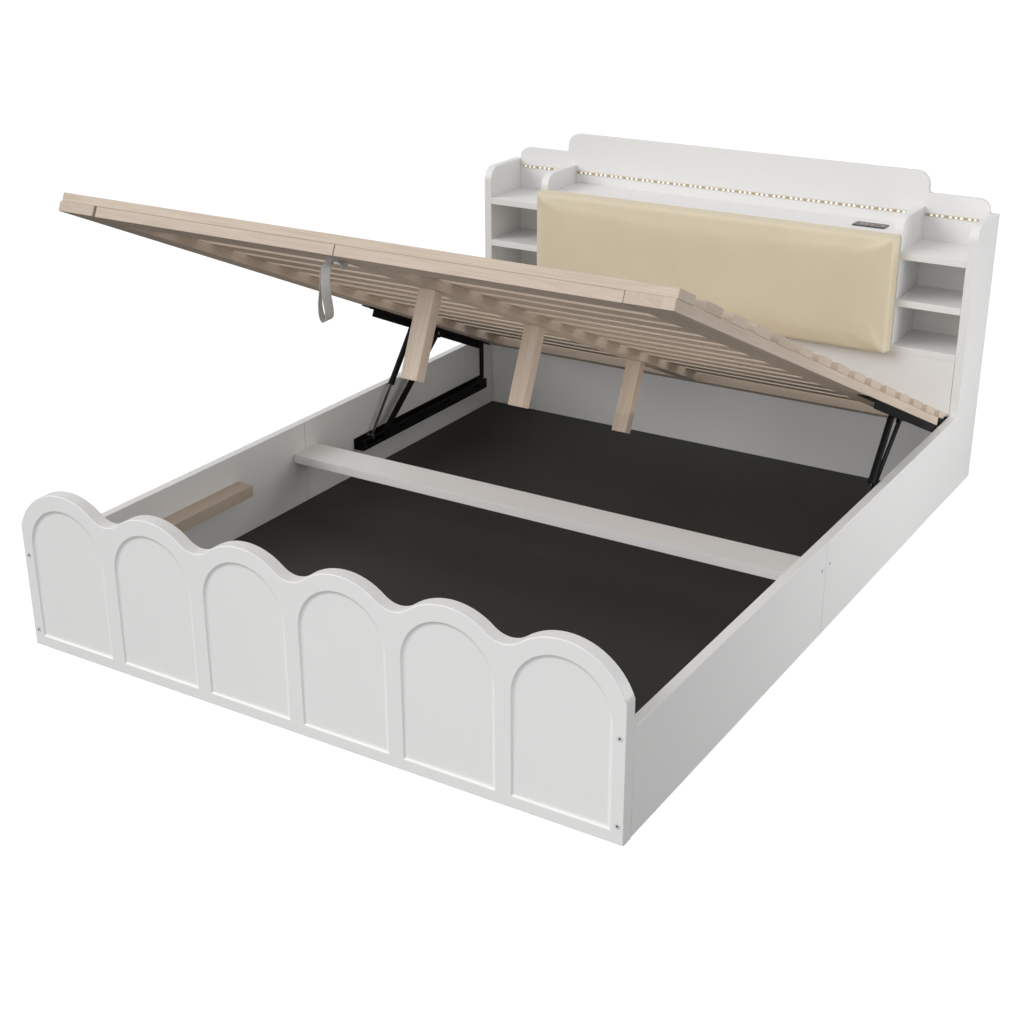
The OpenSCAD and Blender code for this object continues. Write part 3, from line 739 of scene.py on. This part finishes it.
# Bolt heads: thickness, the rim's easing and its rise; their sockets: reach of the corners, depth, taper
HEAD_THICK, HEAD_RIM, RIM_RISE = 0.0025, 0.0006, 0.00042
SOCKET_REACH, SOCKET_DEPTH, SOCKET_TAPER = 0.0028, 0.0017, 0.0001


def sink(bm, face, inward, depth):
    """Insets a face and moves it out by depth; the walls' faces are handed back."""
    return bmesh.ops.inset_region(bm, faces=[face], thickness=inward, depth=depth,
                                  use_even_offset=True)["faces"]


def socket_head(bm, place, radius):
    """A bolt head with an eased rim and a six-sided socket, its underside at place."""
    inverse = place.inverted()
    top = max(disc(bm, radius, HEAD_THICK, place, 24), key=lambda f: (inverse @ f.calc_center_median()).z)
    sink(bm, top, HEAD_RIM, RIM_RISE)
    sink(bm, top, radius - HEAD_RIM - SOCKET_REACH, 0.0)
    for vert in top.verts:
        at = inverse @ vert.co
        turn = atan2(at.y, at.x)
        reach = SOCKET_REACH * cos(pi / 6) / cos((turn % (pi / 3)) - pi / 6)
        vert.co = place @ Vector((reach * cos(turn), reach * sin(turn), at.z))
    # The socket's walls and floor take the near-black second material: painted shade in the six-sided recess
    for face in [*sink(bm, top, SOCKET_TAPER, -SOCKET_DEPTH), top]:
        face.material_index = 1


BOLTS = (
    # node, outward axis, head radius, shank radius, shank length
    ("footboard_bolts", 1, 0.0069, 0.0034, 0.055),
    ("rail_joint_bolts", 0, 0.0059, 0.0029, 0.0115),
)


def loose_parts(bm):
    """The boxes round a mesh's separate parts."""
    seen = set()
    for start in bm.verts:
        if start in seen:
            continue
        part, rim = set(), {start}
        while rim:
            part |= rim
            rim = {v for p in rim for e in p.link_edges for v in e.verts} - part
        seen |= part
        yield [Vector([pick(v.co[i] for v in part) for i in range(3)]) for pick in (min, max)]


class BED_OT_bolts(bpy.types.Operator):
    """Make the socket heads of the footboard's and the rails' bolts"""
    bl_idname = "bed.bolts"
    bl_label = "Bolts"

    def execute(self, context):
        for node, axis, radius, shank, length in BOLTS:
            given = merged_copy(node)
            bm = bmesh.new()
            for low, high in loose_parts(given):
                centre = (low + high) / 2
                side = -1 if axis == 1 or centre.x < 0 else 1
                outward = Vector([side if i == axis else 0 for i in range(3)])
                centre[axis] = (high if side > 0 else low)[axis]
                turn = facing(outward)
                socket_head(bm, Matrix.Translation(centre - outward * HEAD_THICK) @ turn, radius)
                foot = centre - outward * (HEAD_THICK + length)
                disc(bm, shank, length, Matrix.Translation(foot) @ turn, 20)
            given.free()
            as_piece(node + "_heads", bm, [plastic("white_bolt_head"), plastic("socket_painted_shade")],
                     [node])
        return {"FINISHED"}


class BED_OT_battens(bpy.types.Operator):
    """Ease the battens on the rails and give them wood grain"""
    bl_idname = "bed.battens"
    bl_label = "Battens"

    def execute(self, context):
        for node in ("batten_left", "batten_right"):
            stand_in(node, eased_copy(node, sizes().wood_ease), oak("oak_along_bed"))
        return {"FINISHED"}


# Lifting frame

# How far the foot beams stay back from the side beams, and from the middle where they meet
END_SEAM, MIDDLE_SEAM = 0.003, 0.001
# Shorter edges, at notches and holes, stay sharp
SHORT_EDGE = 0.015
FRAME_WOODS = {
    "slats": "oak_across", "foot_beam_left": "oak_end_beams", "foot_beam_right": "oak_end_beams",
    "head_beam": "oak_end_beams", "side_beam_left": "oak_along_frame", "side_beam_right": "oak_along_frame",
    "centre_beam": "oak_along_frame", "legs": "oak_upright",
}


class BED_OT_slatted_frame(bpy.types.Operator):
    """Ease the slats, beams and legs and give each its grain"""
    bl_idname = "bed.slatted_frame"
    bl_label = "Slatted frame"

    def execute(self, context):
        for node, wood in FRAME_WOODS.items():
            bm = merged_copy(node)
            if node.startswith("foot_beam"):
                low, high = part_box(node)
                right = node.endswith("right")
                pull_back(bm, 0, low.x, MIDDLE_SEAM if right else END_SEAM)
                pull_back(bm, 0, high.x, -END_SEAM if right else -MIDDLE_SEAM)
            ease(bm, sharp_edges(bm, SHORT_EDGE), sizes().wood_ease, 2)
            stand_in(node, bm, oak(wood))
        return {"FINISHED"}


# Headboard

# How far the cover reaches past the plain cushion: left and below, then right and above
CUSHION_OVER_LOW, CUSHION_OVER_HIGH = Vector((0.003, 0, 0.009)), Vector((0.003, 0, 0.003))
# How much further each way the swollen cover may reach, and its back not at all
COVER_ROOM = Vector((0.001, 0.006, 0.001))
CORNER_ROUND = 0.010
VOXEL = 0.0068
# How near the back points are held while the cushion swells, and stay put while it is smoothed
HELD_DEPTH, STILL_DEPTH = 0.004, 0.002
SWELL_STEPS, SMOOTHINGS = 20, 3
CLOTH = {
    "quality": 5, "mass": 0.3, "tension_stiffness": 15, "compression_stiffness": 15, "shear_stiffness": 8,
    "bending_stiffness": 1.2, "use_pressure": True, "uniform_pressure_force": 4.0,
}


def keep_modified(context, piece):
    """Makes what the modifiers show the piece's own mesh."""
    made = bpy.data.meshes.new_from_object(piece.evaluated_get(context.evaluated_depsgraph_get()))
    piece.modifiers.clear()
    piece.data = made


def swell(context, pad, back, cap):
    """Blows the pad up as cloth, held along its back, no point moving further than cap."""
    start = [v.co.copy() for v in pad.data.vertices]
    held = pad.vertex_groups.new(name="held")
    held.add([v.index for v in pad.data.vertices if v.co.y > back - HELD_DEPTH], 1.0, "REPLACE")
    cloth = pad.modifiers.new("cloth", "CLOTH")
    for key, value in CLOTH.items():
        setattr(cloth.settings, key, value)
    cloth.settings.vertex_group_mass = "held"
    cloth.settings.effector_weights.gravity = 0.0
    cloth.point_cache.frame_start, cloth.point_cache.frame_end = 1, SWELL_STEPS
    for step in range(1, SWELL_STEPS + 1):
        context.scene.frame_set(step)
    keep_modified(context, pad)
    context.scene.frame_set(1)
    for vert, was in zip(pad.data.vertices, start):
        moved = vert.co - was
        if moved.length > cap:
            vert.co = was + moved.normalized() * cap


class BED_OT_cushion(bpy.types.Operator):
    """Swell the padded cushion from a slightly smaller block"""
    bl_idname = "bed.cushion"
    bl_label = "Cushion"

    def execute(self, context):
        low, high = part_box("cushion")
        low, high = low - CUSHION_OVER_LOW, high + CUSHION_OVER_HIGH
        slack = Vector((1, 1, 1)) * sizes().cushion_slack
        back = high.y
        bm = bmesh.new()
        block(bm, low + slack, (high.x - slack.x, back, high.z - slack.z))
        corners = [e for e in bm.edges if abs((e.verts[0].co - e.verts[1].co).y) > CORNER_ROUND]
        ease(bm, corners, CORNER_ROUND, 4)
        ease(bm, [e for e in bm.edges if all(v.co.y < low.y + slack.y + MM for v in e.verts)
                  and e.calc_face_angle(0.0) > 1.0], sizes().cushion_roll, 6)
        pad = put("cushion_cover", mesh_of("cushion_cover", bm))
        even = pad.modifiers.new("even", "REMESH")
        even.mode = "VOXEL"
        even.voxel_size = VOXEL
        keep_modified(context, pad)
        swell(context, pad, back, sizes().cushion_puff)
        bm = bmesh.new()
        bm.from_mesh(pad.data)
        for _ in range(SMOOTHINGS):
            bmesh.ops.smooth_vert(bm, verts=[v for v in bm.verts if v.co.y < back - STILL_DEPTH], factor=0.5,
                                  use_axis_x=True, use_axis_y=True, use_axis_z=True)
        least = low - COVER_ROOM
        most = Vector((high.x + COVER_ROOM.x, back, high.z + COVER_ROOM.z))
        for vert in bm.verts:
            vert.co = [min(max(at, under), over) for at, under, over in zip(vert.co, least, most)]
        bm.to_mesh(pad.data)
        bm.free()
        pad.data.shade_smooth()
        pad.data.materials.append(cream_cover())
        finer = pad.modifiers.new("finer", "SUBSURF")
        finer.levels = finer.render_levels = 1
        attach(pad, "base")
        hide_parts("cushion")
        return {"FINISHED"}


FORWARD, UP = Vector((0, -1, 0)), Vector((0, 0, 1))
# From lamp to lamp in a group of three, from group to group, and the most between lamps of a group
LAMP_STEP, GROUP_STEP, GROUP_GAP = 0.016, 0.056, 0.0192
# Half width, half height and thickness of a pad and of a solder patch
PAD, PATCH = (0.0024, 0.0028, 0.0006), (0.0028, 0.0035, 0.0004)
# From the middle of a pair of patches to each one's, and at least to the tape's left end
PATCH_SPREAD, PATCH_ROOM = 0.0030, 0.0075
# A lamp's body and lens: their thicknesses, and the lens's share of the width; the easing of the tape
BODY_THICK, LENS_THICK, LENS_SHARE, TAPE_EASE = 0.0014, 0.0003, 0.88, 0.0003


def lamp_places():
    """The lamps' places, each with whether it starts a group of three."""
    places = places_across("led_chips", FORWARD)
    last, count = places[0] - GROUP_STEP, 0
    for x in places:
        count = count + 1 if x - last < GROUP_GAP else 0
        last = x
        yield x, count % 3 == 0


class BED_OT_light_strip(bpy.types.Operator):
    """Lay the light strip's tape, its solder patches and its lamps"""
    bl_idname = "bed.light_strip"
    bl_label = "Light strip"

    def execute(self, context):
        low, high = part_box("led_tape")
        middle, face = (low.z + high.z) / 2, low.y

        def lay(bm, x, wide, tall, thick):
            block(bm, (x - wide, face - thick, middle - tall), (x + wide, face, middle + tall))

        as_piece("light_strip_tape", eased_copy("led_tape", TAPE_EASE, 1), [plastic("light_strip_tape")],
                 ["led_tape"])
        lamps, patches, pads = bmesh.new(), bmesh.new(), bmesh.new()
        half = sizes().lamp_size / 2
        for x, first in lamp_places():
            lay(lamps, x, half, half, BODY_THICK)
            front = Matrix.Translation((x, face - BODY_THICK, middle)) @ facing(FORWARD)
            for lit in disc(lamps, half * LENS_SHARE, LENS_THICK, front, 20):
                lit.material_index = 1
            if not first:
                lay(pads, x - LAMP_STEP / 2, *PAD)
                continue
            spot = x - (GROUP_STEP - 2 * LAMP_STEP) / 2
            if spot - PATCH_ROOM > low.x:
                for side in (-1, 1):
                    lay(patches, spot + side * PATCH_SPREAD, *PATCH)
        as_piece("light_strip_lamps", lamps, [plastic("lamp_body"), lamp_glow("lamp_lit")],
                 ["led_chips"], weighted=False)
        for name, bm, material in (("light_strip_patches", patches, "solder_patch"),
                                   ("light_strip_pads", pads, "small_pad")):
            as_piece(name, bm, [plastic(material)], weighted=False)
        return {"FINISHED"}


# Rounding of the plate's corners and top edge, and how deep the marks sit in it
PLATE_CORNER, PLATE_EASE, MARK_SINK = 0.005, 0.0007, 0.0001
# The red mark's place in the row, counted from 0, half its side and its height
RED_MARK, RED_HALF, RED_HIGH = 2, 0.0028, 0.0004
# The two discs of a pale mark: radius, height, sides
PALE_DISCS = ((0.003, 0.0003, 28), (0.0018, 0.0005, 24))


class BED_OT_control_panel(bpy.types.Operator):
    """Make the touch panel on the headboard's ledge and its marks"""
    bl_idname = "bed.control_panel"
    bl_label = "Control panel"

    def execute(self, context):
        low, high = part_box("control_panel")
        bm = bmesh.new()
        block(bm, low, high)
        ease(bm, [e for e in bm.edges if abs((e.verts[0].co - e.verts[1].co).z) > MM], PLATE_CORNER, 5)
        ease(bm, [e for e in bm.edges if all(v.co.z > high.z - ON_FACE for v in e.verts)], PLATE_EASE, 2)
        as_piece("control_plate", bm, [plastic("black_control_panel")],
                 ["control_panel"])
        pale, red = bmesh.new(), bmesh.new()
        for index, x in enumerate(places_across("control_marks", UP)):
            foot = Vector((x, (low.y + high.y) / 2, high.z - MARK_SINK))
            if index == RED_MARK:
                half = Vector((RED_HALF, RED_HALF, 0))
                block(red, foot - half, foot + half + UP * RED_HIGH)
            else:
                for radius, tall, sides in PALE_DISCS:
                    disc(pale, radius, tall, Matrix.Translation(foot), sides)
        as_piece("control_marks_pale", pale, [lamp_glow("mark_pale")], ["control_marks"],
                 weighted=False)
        as_piece("control_mark_red", red, [lamp_glow("mark_red")], weighted=False)
        return {"FINISHED"}


# Steel and strap

# Rings on each strut's tube: radii, slope at the ends; then each one's place from the lower bolt and length
RING_INNER, RING_OUTER, RING_SLOPE = 0.00905, 0.0098, 0.0008
RINGS = (("gland", 0.1728, 0.0145), ("cap", 0.350, 0.006))


def sleeve(place, at, length):
    """A thin ring round the strut's tube, spun from its section."""
    bm = bmesh.new()
    end = at + length
    corners = ((RING_INNER, at), (RING_OUTER, at + RING_SLOPE), (RING_OUTER, end - RING_SLOPE),
               (RING_INNER, end))
    verts = [bm.verts.new((radius, 0, z)) for radius, z in corners]
    edges = [bm.edges.new((verts[i - 1], verts[i])) for i in range(4)]
    bmesh.ops.spin(bm, geom=verts + edges, cent=(0, 0, 0), axis=(0, 0, 1), angle=2 * pi, steps=40,
                   use_merge=True)
    bmesh.ops.remove_doubles(bm, verts=bm.verts, dist=1e-6)
    bmesh.ops.recalc_face_normals(bm, faces=bm.faces)
    bm.transform(place)
    return bm


class BED_OT_lift_hardware(bpy.types.Operator):
    """Coat the brackets, bars, stays and struts, and add the struts' collars"""
    bl_idname = "bed.lift_hardware"
    bl_label = "Lift hardware"

    def execute(self, context):
        for node in BLACK_STEEL:
            paint_node(node, black_steel())
        for node in ("hinge_rivets", "strut_bolts", "stay_rivets"):
            paint_node(node, bright_steel("zinc_plate"))
        for node in ("strut_rod_left", "strut_rod_right"):
            paint_node(node, bright_steel("blackened_rod"))
        for side in ("left", "right"):
            along = Vector(JOINTS["tube_%s_slide" % side]["axis"]).normalized()
            place = (Matrix.Translation(JOINTS["rod_%s_turn" % side]["pos_m"])
                     @ along.to_track_quat("Z", "X").to_matrix().to_4x4())
            for name, at, length in RINGS:
                as_piece("strut_%s_ring_%s" % (name, side), sleeve(place, at, length), [black_steel()],
                         body="tube_" + side)
        return {"FINISHED"}


# The strap's middle line as seen from the foot end's right: to the right, away and up from where it is
# fixed, in millimetres, then the turn of its width about the vertical and its rise, in degrees.
STRAP_LOOP = (
    (3, 3, -1, 80, 0), (-4, 1, -1.5, 62, 0), (-11, -1, -4, 40, 0), (-17.5, -3, -10, 18, 0),
    (-22, -4, -19, 0, 0), (-25, -4, -30, -12, 0), (-26.2, -4, -44, -14, 0), (-26.2, -4, -60, -6, 0),
    (-24.8, -3, -78, 8, 0), (-22.4, -2, -97, 20, 0), (-21, -1, -112, 28, 2),
    (-21.5, 2, -124, 34, 6), (-25.5, 7, -132.5, 42, 10),
    (-31.5, 12, -136, 52, 12), (-37.5, 16, -131, 62, 8), (-40.8, 18, -120, 68, 4), (-42, 19, -105, 72, 0),
    (-41.4, 19, -91, 75, 0), (-38.8, 18, -68, 78, 0), (-37, 15, -44, 80, 0), (-34, 11, -25, 80, 0),
    (-28, 8, -12, 82, 0), (-20, 6, -5, 84, 0), (-8, 5, -1.5, 86, 0),
)
STRAP_TAIL = (
    (1, 2, -1, 40, 0), (6, 1, -3, 46, 0), (10.5, 0, -6, 50, 0), (14, -1, -10, 54, 0), (15.5, -1, -15, 56, 0),
    (14.5, 0, -19.5, 56, 0), (11, 1, -22, 56, 0),
)
# Where the strap is fixed under the foot beam, in the frame's own place, and half its tab's length
STRAP_FIXED_AT, STRAP_TAB = Vector((0, -1.934, -0.024)), 0.022
# How far under the beam the tab's middle lies, the webbing's thickness, and the threads' pitches
STRAP_SINK, STRAP_THICK = 0.0009, 0.0014
THREAD_ACROSS, THREAD_ALONG = 0.0012, 0.0016
STEPS_BETWEEN, TAB_STEPS = 6, 4


def smooth_run(run):
    """Rows along a smooth curve through the run's rows."""
    rows = [(Vector(row[:3]), Vector((*row[3:], 0))) for row in run]
    for i in range(len(rows) - 1):
        four = [rows[max(i - 1, 0)], rows[i], rows[i + 1], rows[min(i + 2, len(rows) - 1)]]
        for step in range(STEPS_BETWEEN):
            t = step / STEPS_BETWEEN
            yield [(2 * b + (c - a) * t + (2 * a - 5 * b + 4 * c - d) * t ** 2
                    + (3 * b - a - 3 * c + d) * t ** 3) / 2 for a, b, c, d in zip(*four)]
    yield rows[-1]


def strap_rows(run, anchor):
    """The middle and the width's direction of each row of the strap, in metres."""
    view = Matrix.Rotation(-CAMERA_AZ, 3, "Z")
    rows = []
    for place, turn in smooth_run(run):
        about, rise = radians(turn.x), radians(turn.y)
        width = view @ Vector((cos(rise) * cos(about), cos(rise) * sin(about), sin(rise)))
        rows.append((anchor + view @ place * MM, width))
    return rows


def ribbon(bm, rows, width):
    """Extrudes the band row by row; its vertices keep how far across and along they are."""
    across, along = bm.verts.layers.float["across"], bm.verts.layers.float["along"]
    ends = [bm.verts.new(), bm.verts.new()]
    ends[1][across] = 1.0
    first = bm.edges.new(ends)
    cut = bmesh.ops.subdivide_edges(bm, edges=[first], cuts=3)
    edges = [e for e in cut["geom_inner"] + cut["geom_split"] if isinstance(e, bmesh.types.BMEdge)]
    verts = {v for e in edges for v in e.verts}
    edges = list({e for v in verts for e in v.link_edges})
    run = 0.0
    for index, (middle, side) in enumerate(rows):
        ahead = rows[min(index + 1, len(rows) - 1)][0] - rows[max(index - 1, 0)][0]
        side = (side - side.project(ahead)).normalized()
        if index:
            run += (middle - rows[index - 1][0]).length
            made = bmesh.ops.extrude_edge_only(bm, edges=edges)["geom"]
            verts = [v for v in made if isinstance(v, bmesh.types.BMVert)]
            edges = [e for e in made
                     if isinstance(e, bmesh.types.BMEdge) and all(v in verts for v in e.verts)]
        for vert in verts:
            vert.co = middle + side * ((vert[across] - 0.5) * width)
            vert[along] = run


class BED_OT_pull_strap(bpy.types.Operator):
    """Lay the webbing of the pull strap along its twisted loop"""
    bl_idname = "bed.pull_strap"
    bl_label = "Pull strap"

    def execute(self, context):
        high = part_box("pull_strap")[1]
        width = sizes().strap_width
        fixed = STRAP_FIXED_AT + Vector((high.x - width / 2, 0, 0))
        anchor = RAISED @ fixed
        bm = bmesh.new()
        bm.verts.layers.float.new("across")
        bm.verts.layers.float.new("along")
        for run in (STRAP_LOOP, STRAP_TAIL):
            ribbon(bm, strap_rows(run, anchor), width)
        ribbon(bm, [(RAISED @ (fixed + Vector((0, STRAP_TAB * step / TAB_STEPS, -STRAP_SINK))),
                     Vector((1, 0, 0))) for step in range(-TAB_STEPS, TAB_STEPS + 1)], width)
        threads = bm.loops.layers.uv.new("UVMap")
        across, along = bm.verts.layers.float["across"], bm.verts.layers.float["along"]
        for face in bm.faces:
            for loop in face.loops:
                loop[threads].uv = (loop.vert[across] * width / THREAD_ACROSS,
                                    loop.vert[along] / THREAD_ALONG)
        band = as_piece("pull_strap_webbing", bm, [webbing()], ["pull_strap"],
                        "lifting_frame", smooth_over=70.0, weighted=False)
        thick = band.modifiers.new("thick", "SOLIDIFY")
        thick.thickness = STRAP_THICK
        thick.offset = 0.0
        return {"FINISHED"}


STEPS = (
    BED_OT_camera, BED_OT_studio, BED_OT_white_boards, BED_OT_footboard, BED_OT_floor_boards, BED_OT_bolts,
    BED_OT_battens, BED_OT_slatted_frame, BED_OT_cushion, BED_OT_light_strip, BED_OT_control_panel,
    BED_OT_lift_hardware, BED_OT_pull_strap,
)


class BED_PT_panel(bpy.types.Panel):
    """The bed's steps, sizes and colours"""
    bl_label = "Ottoman bed"
    bl_idname = "BED_PT_panel"
    bl_space_type = "VIEW_3D"
    bl_region_type = "UI"
    bl_category = "Bed"

    def draw(self, context):
        for group in (context.scene.bed_sizes, context.scene.bed_colours):
            box = self.layout.box()
            for name in group.__annotations__:
                box.prop(group, name)
        for step in STEPS:
            self.layout.operator(step.bl_idname)


CLASSES = (BedSizes, BedColours, *STEPS, BED_PT_panel)


def register():
    for cls in CLASSES:
        bpy.utils.register_class(cls)
    bpy.types.Scene.bed_sizes = PointerProperty(type=BedSizes)
    bpy.types.Scene.bed_colours = PointerProperty(type=BedColours)


def unregister():
    del bpy.types.Scene.bed_sizes
    del bpy.types.Scene.bed_colours
    for cls in reversed(CLASSES):
        bpy.utils.unregister_class(cls)


def main():
    register()
    for step in STEPS:
        group, name = step.bl_idname.split(".")
        getattr(getattr(bpy.ops, group), name)()


if __name__ == "__main__":
    main()
